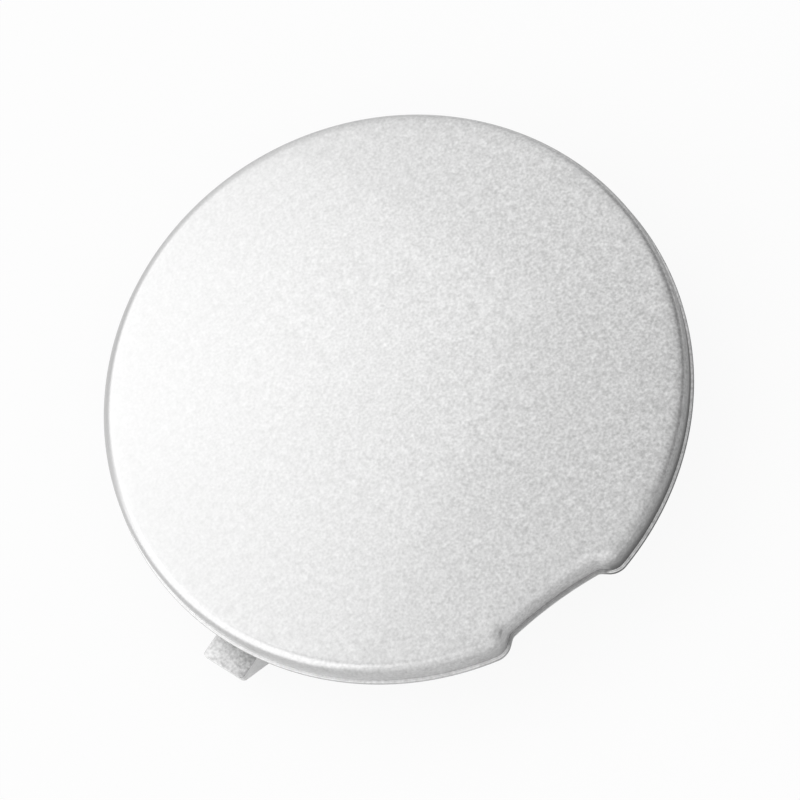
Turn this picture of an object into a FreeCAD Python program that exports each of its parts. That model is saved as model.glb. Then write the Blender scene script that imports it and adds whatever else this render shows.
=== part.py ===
import FreeCAD, Part
import math
import os

import Sketcher
from FreeCAD import Placement, Rotation, Vector

# Bumper tow hook cover: a round, painted, injection moulded cap that closes the hole through
# which the towing eye is screwed in. It is one moulding, so it is one body.
#
# The frame: the origin is the centre of the seat, the flat ring that lies on the bumper's
# recessed shoulder. +Z points out of the bumper through the painted face, and -Y points at
# the pry notch. Lengths are millimetres, angles are degrees.

SIZES = {
    # The hole in the bumper and how the cover covers it
    "HoleRadius": 24.2,  # radius of the bumper's round hole
    "HoleClearance": 0.2,  # radial play of the collar in that hole
    "SeatWidth": 6.0,  # from the collar out to the edge of the lip
    "SkinThick": 2.8,  # thickness of the bumper skin at the hole
    "SkinPlay": 0.2,  # play of the skin between seat and catches
    # The painted face and its stepped rim
    "RimHeight": 3.4,  # seat up to the edge of the domed face
    "Crown": 0.8,  # rise of the face from its edge to its middle
    "PlateThick": 2.4,  # wall of the face plate
    "RimWall": 2.0,  # wall of the rim round the back recess
    "EdgeRound": 1.3,  # rounding of the face's edge
    "LipStep": 0.3,  # how far the thin lip stands out from the rim
    "LipThick": 0.5,  # height of that lip
    # The pry notch
    "NotchDepth": 2.3,  # from the rim in to the middle of the notch's floor
    "NotchHalfWidth": 5.3,  # half the floor, measured to its sharp corners
    "NotchSideAngle": 50.0,  # how far each side leans out from the radius
    "NotchFloorRadius": 42.0,  # the floor is a shallow scallop of this radius
    "NotchOuterRound": 1.7,  # rounding of the two lobes beside the notch
    "NotchInnerRound": 1.2,  # rounding of the two corners of its floor
    "RecessCorner": 0.8,  # rounding of the same corners inside the back recess
    # The collar that drops into the hole
    "CollarWall": 1.5,
    "CollarDepth": 5.0,  # seat down to the collar's end
    "CollarLead": 0.6,  # chamfer round the collar's end
    # The snap arms, in gaps of the collar
    "ArmWidth": 8.0,
    "ArmThick": 1.5,
    "ArmTipThick": 0.7,
    "SlotGap": 1.2,  # slot each side of an arm
    "LegDepth": 8.0,  # seat down to the feet of arms and hook
    "BarbOut": 1.2,  # how far a barb stands out past the collar
    "BarbBack": 0.9,  # height of the barb's sloped catch face
    "BarbLand": 0.4,  # height of the barb's nose
    # The rigid hook that reaches out under the bumper skin
    "NotchToHook": 69.0,  # angle from the notch round to the hook
    "HookOverhang": 2.1,  # how far the hook shows past the lip
    "HookWidth": 5.0,
    "HookLegThick": 2.0,
    "HookPlateThick": 0.8,  # the hook's plate, and its thin tip
    "HookCheek": 1.1,  # the two cheeks that carry the plate
    "HookTipRound": 0.35,
    # Ribs of the back
    "RibThick": 1.2,
    "RibDrop": 1.5,  # seat down to the ribs' lower edge
    "HubRadius": 7.0,
    "EjectorCircle": 14.5,  # circle on which the four ejector marks lie
    "EjectorRadius": 2.2,
    "EjectorDeep": 0.2,
}

# What follows from those sizes
COLLAR_RADIUS = "(Sizes.HoleRadius - Sizes.HoleClearance)"
LIP_RADIUS = f"({COLLAR_RADIUS} + Sizes.SeatWidth)"
FACE_RADIUS = f"({LIP_RADIUS} - Sizes.LipStep)"
RECESS_RADIUS = f"({FACE_RADIUS} - Sizes.RimWall)"
FLOOR_DISTANCE = f"({FACE_RADIUS} - Sizes.NotchDepth)"
CROWN_TOP = "(Sizes.RimHeight + Sizes.Crown)"
DOME_EDGE = f"({FACE_RADIUS} - Sizes.EdgeRound)"
DOME_RADIUS = f"(({DOME_EDGE}^2 + Sizes.Crown^2) / (2 * Sizes.Crown))"
DOME_CENTRE = f"({CROWN_TOP} - {DOME_RADIUS})"
# The level inside the face plate at which everything on its back is rooted
ROOT_LEVEL = "(Sizes.RimHeight + (Sizes.Crown - Sizes.PlateThick) / 2)"
# The back recess has a flat shoulder; inside this radius its ceiling is a shallow cone
CEILING_RADIUS = f"({FLOOR_DISTANCE} - Sizes.RimWall)"
CEILING_TOP = f"({CROWN_TOP} - Sizes.PlateThick)"
DOME_FALL = f"({DOME_RADIUS} - sqrt({DOME_RADIUS}^2 - {CEILING_RADIUS}^2))"
CEILING_LEVEL = f"({CEILING_TOP} - {DOME_FALL})"
CATCH_LEVEL = "(Sizes.SkinThick + Sizes.SkinPlay)"
HOOK_AZIMUTH = "(270 - Sizes.NotchToHook)"
HOOK_REACH = f"({LIP_RADIUS} + Sizes.HookOverhang)"
SLOT_HALF_ANGLE = f"asin((Sizes.ArmWidth / 2 + Sizes.SlotGap) / {COLLAR_RADIUS})"

LAP = 1.0  # overrun of a cut past the solid that it cuts
SAME = 1e-4  # two lengths closer than this are the same

doc = FreeCAD.newDocument("TowHookCover")
sheet = doc.addObject("Spreadsheet::Sheet", "Sizes")
for row, (alias, number) in enumerate(SIZES.items(), start=1):
    sheet.set(f"A{row}", alias)
    sheet.set(f"B{row}", str(number))
    sheet.setAlias(f"B{row}", alias)
doc.recompute()


def value(expression):
    """The number that an expression on the sheet gives now."""
    found = sheet.evalExpression(str(expression))
    return float(getattr(found, "Value", found))


body = doc.addObject("PartDesign::Body", "tow_hook_cover")
body.Label = "tow_hook_cover"
body.Placement = Placement()
origin = {feature.Role: feature for feature in body.Origin.OriginFeatures}


def plan_sketch(name, level="0"):
    """A sketch that looks down on the cover, at a height above the seat."""
    sketch = body.newObject("Sketcher::SketchObject", name)
    sketch.AttachmentSupport = (origin["XY_Plane"], [""])
    sketch.MapMode = "FlatFace"
    sketch.setExpression("AttachmentOffset.Base.z", level)
    return sketch


def radial_sketch(name, azimuth="0"):
    """A sketch on a half plane through the axis: its x is the radius, its y the height."""
    sketch = body.newObject("Sketcher::SketchObject", name)
    sketch.AttachmentSupport = (origin["XZ_Plane"], [""])
    sketch.MapMode = "FlatFace"
    sketch.AttachmentOffset = Placement(Vector(), Rotation(Vector(0, 1, 0), value(azimuth)))
    sketch.setExpression("AttachmentOffset.Rotation.Angle", azimuth)
    return sketch


def bind(sketch, kind, places, expression, name):
    """Adds a dimension to a sketch and ties it to the sheet."""
    number = value(expression)
    if kind == "Angle":
        number = math.radians(number)
    index = sketch.addConstraint(Sketcher.Constraint(kind, *places, number))
    sketch.renameConstraint(index, name)
    sketch.setExpression(f"Constraints.{name}", expression)


def polygon(sketch, corners):
    """Draws a closed outline of straight edges. Each corner is (x, y), two expressions."""
    points = [Vector(value(x), value(y), 0) for x, y in corners]
    count = len(points)
    for i in range(count):
        sketch.addGeometry(Part.LineSegment(points[i], points[(i + 1) % count]), False)
    for i in range(count):
        sketch.addConstraint(Sketcher.Constraint("Coincident", i, 2, (i + 1) % count, 1))
    for i, (x, y) in enumerate(corners):
        fix_point(sketch, i, 1, x, y, f"corner{i}")


def fix_point(sketch, shape, end, x, y, name):
    """Ties one point of a sketch to its place from the origin."""
    for kind, axis, expression in (("DistanceX", -2, x), ("DistanceY", -1, y)):
        if abs(value(expression)) < SAME:
            sketch.addConstraint(Sketcher.Constraint("PointOnObject", shape, end, axis))
        else:
            bind(sketch, kind, (-1, 1, shape, end), expression, f"{name}{kind[-1]}")


def circle(sketch, x, y, radius, name):
    """Draws a circle about (x, y), given as expressions."""
    centre = Vector(value(x), value(y), 0)
    shape = sketch.addGeometry(Part.Circle(centre, Vector(0, 0, 1), value(radius)), False)
    fix_point(sketch, shape, 3, x, y, name)
    bind(sketch, "Radius", (shape,), radius, f"{name}Radius")


def arc(centre, radius, start, end):
    """An arc that runs anticlockwise from the point start to the point end."""
    angles = [math.atan2(p.y - centre.y, p.x - centre.x) for p in (start, end)]
    return Part.ArcOfCircle(Part.Circle(centre, Vector(0, 0, 1), radius), *angles)


def mirrored(point):
    """The same point on the other side of the notch."""
    return Vector(-point.x, point.y, 0)


def notched_outline(sketch, grow, outer_round, inner_round):
    """Draws the rim's outline with its notch, moved outwards by grow.

    The notch's sides lean at NotchSideAngle, its floor is an arc about a centre outside the
    rim, and both kinds of corner are rounded.
    """
    radius = f"({FACE_RADIUS} + {grow})"
    floor_radius = f"(Sizes.NotchFloorRadius - {grow})"
    floor_centre = f"({FLOOR_DISTANCE} + Sizes.NotchFloorRadius)"
    floor_rise = "sqrt(Sizes.NotchFloorRadius^2 - Sizes.NotchHalfWidth^2)"
    side_distance = (
        f"(({floor_centre} - {floor_rise}) * sin(Sizes.NotchSideAngle)"
        f" - Sizes.NotchHalfWidth * cos(Sizes.NotchSideAngle) + {grow})"
    )
    lean = math.radians(value("Sizes.NotchSideAngle"))
    along = Vector(math.sin(lean), -math.cos(lean), 0)
    into_notch = Vector(-math.cos(lean), -math.sin(lean), 0)
    rim, floor = value(radius), value(floor_radius)
    outer, inner = value(outer_round), value(inner_round)
    rim_centre, scallop = Vector(), Vector(0, -value(floor_centre), 0)
    foot = into_notch * value(side_distance)

    def rounding_centre(offset, about, reach, way):
        """Where a rounding's centre lies: offset from the side, and reach from a centre."""
        start = foot + into_notch * offset - about
        half = start.dot(along)
        run = -half + way * math.sqrt(half**2 - start.dot(start) + reach**2)
        return foot + into_notch * offset + along * run

    outer_centre = rounding_centre(-outer, rim_centre, rim - outer, 1)
    inner_centre = rounding_centre(inner, scallop, floor - inner, -1)
    on_rim = outer_centre * (rim / outer_centre.Length)
    side_out = outer_centre + into_notch * outer
    side_in = inner_centre - into_notch * inner
    to_floor = inner_centre - scallop
    on_floor = scallop + to_floor * (floor / to_floor.Length)

    sketch.addGeometry(
        [
            arc(rim_centre, rim, on_rim, mirrored(on_rim)),
            arc(mirrored(outer_centre), outer, mirrored(on_rim), mirrored(side_out)),
            Part.LineSegment(mirrored(side_out), mirrored(side_in)),
            arc(mirrored(inner_centre), inner, mirrored(on_floor), mirrored(side_in)),
            arc(scallop, floor, on_floor, mirrored(on_floor)),
            arc(inner_centre, inner, side_in, on_floor),
            Part.LineSegment(side_in, side_out),
            arc(outer_centre, outer, side_out, on_rim),
        ],
        False,
    )
    joints = [(0, 2, 1, 1), (1, 2, 2, 1), (2, 2, 3, 2), (3, 1, 4, 2)]
    joints += [(4, 1, 5, 2), (5, 1, 6, 1), (6, 2, 7, 1), (7, 2, 0, 1)]
    for joint in joints:
        sketch.addConstraint(Sketcher.Constraint("Tangent", *joint))
    sketch.addConstraint(Sketcher.Constraint("Coincident", 0, 3, -1, 1))
    sketch.addConstraint(Sketcher.Constraint("PointOnObject", 4, 3, -2))
    sketch.addConstraint(Sketcher.Constraint("Symmetric", 2, 1, 6, 2, -2))
    sketch.addConstraint(Sketcher.Constraint("Equal", 1, 7))
    sketch.addConstraint(Sketcher.Constraint("Equal", 3, 5))
    bind(sketch, "Radius", (0,), radius, "Rim")
    bind(sketch, "Radius", (4,), floor_radius, "Floor")
    bind(sketch, "DistanceY", (4, 3, -1, 1), floor_centre, "FloorCentre")
    bind(sketch, "Angle", (6,), "(Sizes.NotchSideAngle - 90)", "SideAngle")
    bind(sketch, "Distance", (-1, 1, 6), side_distance, "SideDistance")
    bind(sketch, "Radius", (7,), outer_round, "OuterRound")
    bind(sketch, "Radius", (5,), inner_round, "InnerRound")


def finish(feature, adds):
    """Recomputes, and stops if a feature that should add or remove material did neither."""
    before = finish.volume
    doc.recompute()
    finish.volume = feature.Shape.Volume
    if (finish.volume - before) * (1 if adds else -1) <= 0:
        raise RuntimeError(f"{feature.Name} changed the volume from {before} to {finish.volume}")
    return feature


finish.volume = 0.0


def pad(name, sketch, length, midplane=False):
    """Raises a sketch into the solid, upwards or to both sides."""
    feature = body.newObject("PartDesign::Pad", name)
    feature.Profile = sketch
    feature.Midplane = midplane
    feature.setExpression("Length", length)
    return finish(feature, True)


def pocket(name, sketch, length, upwards=False, midplane=False):
    """Cuts a sketch out of the solid."""
    feature = body.newObject("PartDesign::Pocket", name)
    feature.Profile = sketch
    feature.Reversed = upwards
    feature.Midplane = midplane
    feature.setExpression("Length", length)
    return finish(feature, False)


def turn(name, sketch, angle="360", cut=False):
    """Turns a radial sketch about the cover's axis, the same way to both sides of it."""
    feature = body.newObject(f"PartDesign::{'Groove' if cut else 'Revolution'}", name)
    feature.Profile = sketch
    feature.ReferenceAxis = (sketch, ["V_Axis"])
    feature.Midplane = True
    feature.setExpression("Angle", angle)
    return finish(feature, not cut)


def around(name, feature, angle, count, adds=True):
    """Repeats a feature round the cover's axis."""
    pattern = body.newObject("PartDesign::PolarPattern", name)
    pattern.Originals = [feature]
    pattern.Axis = (origin["Z_Axis"], [""])
    pattern.Angle = angle
    pattern.Occurrences = count
    body.Tip = pattern
    return finish(pattern, adds)


def edges_where(feature, test):
    """The names of a feature's edges that pass a test."""
    found = [f"Edge{i}" for i, edge in enumerate(feature.Shape.Edges, start=1) if test(edge)]
    if not found:
        raise RuntimeError(f"{feature.Name} has no such edge")
    return found


def round_edges(name, feature, edges, radius):
    """Rounds the named edges of a feature."""
    fillet = body.newObject("PartDesign::Fillet", name)
    fillet.Base = (feature, edges)
    fillet.setExpression("Radius", radius)
    return finish(fillet, False)


def middle(edge):
    """The point half way along an edge."""
    return edge.valueAt((edge.FirstParameter + edge.LastParameter) / 2)


# The face: a notched disc with its upper edge rounded all round
face_outline = plan_sketch("FaceOutline")
notched_outline(face_outline, "0", "Sizes.NotchOuterRound", "Sizes.NotchInnerRound")
face = pad("Face", face_outline, "Sizes.RimHeight")


def at_face_edge(edge):
    """True for the edges round the top of the notched disc."""
    return edge.BoundBox.ZMin > value("Sizes.RimHeight") - SAME


rounded_face = round_edges("FaceEdge", face, edges_where(face, at_face_edge), "Sizes.EdgeRound")

# The dome: a shallow crown on that disc, which runs out at the rounded edge
crown_outline = plan_sketch("CrownOutline", "Sizes.RimHeight - Sizes.EdgeRound / 3")
notched_outline(
    crown_outline,
    "(-Sizes.EdgeRound + Sizes.EdgeRound / 13)",
    "(Sizes.NotchOuterRound - Sizes.EdgeRound * 12 / 13)",
    "(Sizes.NotchInnerRound + Sizes.EdgeRound * 12 / 13)",
)
pad("Crown", crown_outline, f"Sizes.Crown + Sizes.EdgeRound / 3 + {LAP}")

dome_profile = radial_sketch("DomeProfile")
sky = f"({CROWN_TOP} + 2 * {LAP})"
dome_rim = f"({FACE_RADIUS} + {LAP})"
dome_rim_level = f"({DOME_CENTRE} + sqrt({DOME_RADIUS}^2 - {dome_rim}^2))"
dome_centre = Vector(0, value(DOME_CENTRE), 0)
dome_top = Vector(0, value(CROWN_TOP), 0)
dome_side = Vector(value(dome_rim), value(dome_rim_level), 0)
sky_side = Vector(value(dome_rim), value(sky), 0)
sky_top = Vector(0, value(sky), 0)
dome_profile.addGeometry(
    [
        arc(dome_centre, value(DOME_RADIUS), dome_side, dome_top),
        Part.LineSegment(dome_side, sky_side),
        Part.LineSegment(sky_side, sky_top),
        Part.LineSegment(sky_top, dome_top),
    ],
    False,
)
for link in ((0, 1, 1, 1), (1, 2, 2, 1), (2, 2, 3, 1), (3, 2, 0, 2)):
    dome_profile.addConstraint(Sketcher.Constraint("Coincident", *link))
dome_profile.addConstraint(Sketcher.Constraint("PointOnObject", 0, 3, -2))
dome_profile.addConstraint(Sketcher.Constraint("Vertical", 1))
dome_profile.addConstraint(Sketcher.Constraint("Horizontal", 2))
dome_profile.addConstraint(Sketcher.Constraint("PointOnObject", 2, 2, -2))
bind(dome_profile, "Radius", (0,), DOME_RADIUS, "DomeRadius")
fix_point(dome_profile, 3, 2, "0", CROWN_TOP, "DomeTop")
fix_point(dome_profile, 1, 2, dome_rim, sky, "Sky")
turn("Dome", dome_profile, cut=True)

# The lip: a thin step round the foot of the rim, which follows the notch too
lip_outline = plan_sketch("LipOutline")
notched_outline(
    lip_outline,
    "Sizes.LipStep",
    "(Sizes.NotchOuterRound + Sizes.LipStep)",
    "(Sizes.NotchInnerRound - Sizes.LipStep)",
)
pad("Lip", lip_outline, "Sizes.LipThick")

# The back recess: a flat shoulder inside the rim, then a conical ceiling under the dome
recess_outline = plan_sketch("RecessOutline")
notched_outline(recess_outline, "(-Sizes.RimWall)", "Sizes.RecessCorner", "Sizes.RecessCorner")
pocket("Recess", recess_outline, CEILING_LEVEL, upwards=True)

ceiling_profile = radial_sketch("CeilingProfile")
polygon(
    ceiling_profile,
    [("0", "0"), (CEILING_RADIUS, "0"), (CEILING_RADIUS, CEILING_LEVEL), ("0", CEILING_TOP)],
)
turn("Ceiling", ceiling_profile, cut=True)

# The collar: three lengths of one ring, parted by the slots of the snap arms
COLLAR_INNER = f"({COLLAR_RADIUS} - Sizes.CollarWall)"
COLLAR_PROFILE = [
    (COLLAR_INNER, "-Sizes.CollarDepth"),
    (f"({COLLAR_RADIUS} - Sizes.CollarLead)", "-Sizes.CollarDepth"),
    (COLLAR_RADIUS, "(Sizes.CollarLead - Sizes.CollarDepth)"),
    (COLLAR_RADIUS, ROOT_LEVEL),
    (COLLAR_INNER, ROOT_LEVEL),
]
long_profile = radial_sketch("LongCollarProfile", HOOK_AZIMUTH)
polygon(long_profile, COLLAR_PROFILE)
turn("LongCollar", long_profile, f"180 deg - 2 * {SLOT_HALF_ANGLE}")

short_profile = radial_sketch("ShortCollarProfile", f"({HOOK_AZIMUTH} + 135)")
polygon(short_profile, COLLAR_PROFILE)
short_collar = turn("ShortCollar", short_profile, f"90 deg - 2 * {SLOT_HALF_ANGLE}")
around("ShortCollars", short_collar, 90, 2)

# The snap arms: springy lengths of the same ring, each with a barb that catches under the skin
ARM_INNER = f"({COLLAR_RADIUS} - Sizes.ArmThick)"
BARB_RADIUS = f"({COLLAR_RADIUS} + Sizes.BarbOut)"
BARB_LEVEL = f"(-{CATCH_LEVEL} - Sizes.BarbBack)"
arm_profile = radial_sketch("ArmProfile", f"({HOOK_AZIMUTH} + 90)")
polygon(
    arm_profile,
    [
        (ARM_INNER, "-Sizes.LegDepth"),
        (f"({ARM_INNER} + Sizes.ArmTipThick)", "-Sizes.LegDepth"),
        (BARB_RADIUS, f"({BARB_LEVEL} - Sizes.BarbLand)"),
        (BARB_RADIUS, BARB_LEVEL),
        (COLLAR_RADIUS, f"-{CATCH_LEVEL}"),
        (COLLAR_RADIUS, ROOT_LEVEL),
        (ARM_INNER, ROOT_LEVEL),
    ],
)
arm = turn("SnapArm", arm_profile, f"2 * asin(Sizes.ArmWidth / 2 / {COLLAR_RADIUS})")
around("SnapArms", arm, 180, 3)

# The hook: a rigid leg beside the rim, whose plate reaches out past the lip
HOOK_BACK = f"({RECESS_RADIUS} - Sizes.HookLegThick)"
hook_profile = radial_sketch("HookProfile", HOOK_AZIMUTH)
polygon(
    hook_profile,
    [
        (HOOK_BACK, "-Sizes.LegDepth"),
        (RECESS_RADIUS, "-Sizes.LegDepth"),
        (HOOK_REACH, f"(-{CATCH_LEVEL} - Sizes.HookPlateThick)"),
        (HOOK_REACH, f"-{CATCH_LEVEL}"),
        (RECESS_RADIUS, f"-{CATCH_LEVEL}"),
        (RECESS_RADIUS, ROOT_LEVEL),
        (HOOK_BACK, ROOT_LEVEL),
    ],
)
hook = pad("Hook", hook_profile, "Sizes.HookWidth", midplane=True)


def at_hook_tip(edge):
    """True for the two upright edges of the hook's tip."""
    turned = math.radians(value(HOOK_AZIMUTH))
    point = middle(edge)
    reach = point.x * math.cos(turned) + point.y * math.sin(turned)
    box = edge.BoundBox
    upright = box.ZLength > SAME and box.XLength < SAME and box.YLength < SAME
    return upright and reach > value(HOOK_REACH) - SAME


round_edges("HookTip", hook, edges_where(hook, at_hook_tip), "Sizes.HookTipRound")


def turned_plan_sketch(name, level):
    """A plan sketch whose x points out along the hook."""
    sketch = plan_sketch(name, level)
    turn_about_axis = Rotation(Vector(0, 0, 1), value(HOOK_AZIMUTH))
    sketch.AttachmentOffset = Placement(Vector(0, 0, value(level)), turn_about_axis)
    sketch.setExpression("AttachmentOffset.Rotation.Angle", HOOK_AZIMUTH)
    return sketch


def across(inner, outer, width):
    """The corners of a strip along the hook's axis."""
    half = f"{width} / 2"
    return [(inner, f"-{half}"), (outer, f"-{half}"), (outer, half), (inner, half)]


# The hook is cored from below: two cheeks stay, and the plate over them
core_outline = turned_plan_sketch("HookCoreOutline", f"-(Sizes.LegDepth + {LAP})")
core_width = "(Sizes.HookWidth - 2 * Sizes.HookCheek)"
core_end = f"({HOOK_REACH} - Sizes.HookCheek)"
polygon(core_outline, across(RECESS_RADIUS, core_end, core_width))
core_height = f"Sizes.LegDepth + {LAP} - {CATCH_LEVEL} - Sizes.HookPlateThick"
pocket("HookCore", core_outline, core_height, upwards=True)

# A web ties the hook's leg to the collar
web_outline = turned_plan_sketch("WebOutline", "-Sizes.CollarDepth")
web_inner = f"({COLLAR_RADIUS} - Sizes.CollarWall / 2)"
web_outer = f"({RECESS_RADIUS} - Sizes.HookLegThick / 2)"
polygon(web_outline, across(web_inner, web_outer, "Sizes.RibThick"))
pad("HookWeb", web_outline, f"Sizes.CollarDepth + {ROOT_LEVEL}")

# The hub ring and the two ribs that cross it, half way between the arms
rib_height = f"Sizes.RibDrop + {ROOT_LEVEL}"
hub_outline = plan_sketch("HubOutline", "-Sizes.RibDrop")
circle(hub_outline, "0", "0", "Sizes.HubRadius", "Hub")
circle(hub_outline, "0", "0", "(Sizes.HubRadius - Sizes.RibThick)", "HubBore")
pad("Hub", hub_outline, rib_height)

rib_outline = plan_sketch("RibOutline", "-Sizes.RibDrop")
rib_turn = f"({HOOK_AZIMUTH} - 135)"
rib_outline.AttachmentOffset = Placement(
    Vector(0, 0, value("-Sizes.RibDrop")), Rotation(Vector(0, 0, 1), value(rib_turn))
)
rib_outline.setExpression("AttachmentOffset.Rotation.Angle", rib_turn)
rib_end = f"({COLLAR_RADIUS} - Sizes.CollarWall / 2)"
polygon(rib_outline, across(f"-{rib_end}", rib_end, "Sizes.RibThick"))
rib = pad("Rib", rib_outline, rib_height)
around("Ribs", rib, 90, 2)

# The four round marks that the ejector pins leave in the ceiling
mark_outline = turned_plan_sketch("EjectorMarkOutline", "0")
circle(mark_outline, "Sizes.EjectorCircle", "0", "Sizes.EjectorRadius", "Mark")
mark_level = f"({CEILING_TOP} - {DOME_FALL} * Sizes.EjectorCircle / {CEILING_RADIUS})"
mark = pocket("EjectorMark", mark_outline, f"{mark_level} + Sizes.EjectorDeep", upwards=True)
around("EjectorMarks", mark, 360, 4, adds=False)

doc.recompute()
for item in doc.Objects:
    if "Invalid" in item.State or "Error" in item.State:
        raise RuntimeError(f"{item.Name} failed: {item.State}")
if body.Shape.isNull() or not body.Shape.isValid() or len(body.Shape.Solids) != 1:
    raise RuntimeError("the cover is not one valid solid")

os.makedirs("parts", exist_ok=True)
body.Shape.exportStep(f"parts/{body.Label}.step")
print(f"{body.Label}: {body.Shape.Volume:.1f} mm3, box {body.Shape.BoundBox}")
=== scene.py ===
"""The visual model of a round bumper tow hook cover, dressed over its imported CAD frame.

The cover is one moulding: a domed, silver painted face with a stepped rim and a pry notch, an
edge hook that reaches out under the bumper skin, and on the back a collar, three snap arms,
crossed ribs and a hub ring. Sizes are written in millimetres and become metres when a mesh is
finished. +Z points out through the painted face and -Y points at the pry notch.
"""

import logging
import math
from dataclasses import dataclass
from enum import Enum
from typing import Any, Callable, Iterable, Sequence, Union

import bmesh
import bpy
from bmesh.types import BMEdge, BMesh, BMFace, BMVert
from bpy.types import Material, NodeSocket, NodeTree, Object
from mathutils import Matrix, Vector


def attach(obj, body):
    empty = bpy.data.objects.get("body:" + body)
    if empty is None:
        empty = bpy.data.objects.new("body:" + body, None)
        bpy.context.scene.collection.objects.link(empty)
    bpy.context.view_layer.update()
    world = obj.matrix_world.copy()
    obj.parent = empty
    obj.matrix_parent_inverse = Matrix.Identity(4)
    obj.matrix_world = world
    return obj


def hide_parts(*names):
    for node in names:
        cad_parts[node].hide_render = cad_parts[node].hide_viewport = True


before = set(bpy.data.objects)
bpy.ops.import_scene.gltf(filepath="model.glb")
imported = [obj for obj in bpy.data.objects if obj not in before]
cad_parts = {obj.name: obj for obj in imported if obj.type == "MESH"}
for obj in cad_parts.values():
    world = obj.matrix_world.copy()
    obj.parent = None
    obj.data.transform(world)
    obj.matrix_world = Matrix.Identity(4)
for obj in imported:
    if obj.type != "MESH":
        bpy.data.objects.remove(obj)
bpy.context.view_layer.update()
CAD_NODE = "tow_hook_cover"
MM = 0.001
SOFTEN_ABOVE = 30.0  # degrees between two faces, past which their edge is rounded
CRISP_ABOVE = 40.0  # degrees between two faces, past which the shading breaks at their edge
MERGE_WITHIN = 1e-5  # millimetres

logging.basicConfig(level=logging.INFO, format="%(message)s")
log = logging.getLogger("tow_hook_cover")

Pair = tuple[float, float]


# ---- Sizes and outline


@dataclass(frozen=True)
class CoverSizes:
    """Sizes that several parts of the cover share, in millimetres and degrees."""

    face_radius: float = 29.7
    rim_height: float = 3.4
    crown: float = 0.8
    edge_round: float = 1.3
    plate_thick: float = 2.4
    lip_step: float = 0.3
    lip_thick: float = 0.5
    rim_wall: float = 2.0
    recess_corner: float = 0.8
    notch_depth: float = 2.3
    notch_half_width: float = 5.3
    notch_side_angle: float = 50.0
    notch_floor_radius: float = 42.0
    notch_outer_round: float = 1.7
    notch_inner_round: float = 1.2
    collar_radius: float = 24.0
    collar_wall: float = 1.5
    root_deep: float = 0.8
    leg_depth: float = 8.0
    catch_depth: float = 3.0
    hook_azimuth: float = 201.0

    @property
    def crown_top(self) -> float:
        """Height of the middle of the face."""
        return self.rim_height + self.crown

    @property
    def dome_radius(self) -> float:
        """Radius of the sphere that the face is part of."""
        edge = self.face_radius - self.edge_round
        return (edge**2 + self.crown**2) / (2 * self.crown)

    @property
    def dome_centre(self) -> float:
        """Height of that sphere's centre, far below the cover."""
        return self.crown_top - self.dome_radius

    @property
    def ceiling_radius(self) -> float:
        """Radius at which the flat shoulder of the back recess turns into its ceiling."""
        return self.face_radius - self.notch_depth - self.rim_wall

    @property
    def ceiling_top(self) -> float:
        """Height of the middle of the ceiling."""
        return self.crown_top - self.plate_thick

    @property
    def ceiling_level(self) -> float:
        """Height of the shoulder."""
        radius = self.dome_radius
        return self.ceiling_top - radius + math.sqrt(radius**2 - self.ceiling_radius**2)

    @property
    def root_level(self) -> float:
        """A height inside the face plate, where everything on the back is rooted."""
        return self.rim_height - self.root_deep

    @property
    def collar_middle(self) -> float:
        """Radius of the middle of the collar's wall, where the ribs and the hook's tie end."""
        return self.collar_radius - self.collar_wall / 2

    def dome_level(self, radius: float) -> float:
        """Height of the face at a radius."""
        return self.dome_centre + math.sqrt(self.dome_radius**2 - radius**2)


SIZES = CoverSizes()


@dataclass(frozen=True)
class Station:
    """One point of an outline, with the direction that points straight out of the material."""

    point: Vector
    outward: Vector

    def moved(self, outwards: float, level: float) -> Vector:
        """The point moved out of the material and set at a height."""
        place = self.point + self.outward * outwards
        return Vector((place.x, place.y, level))


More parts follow.
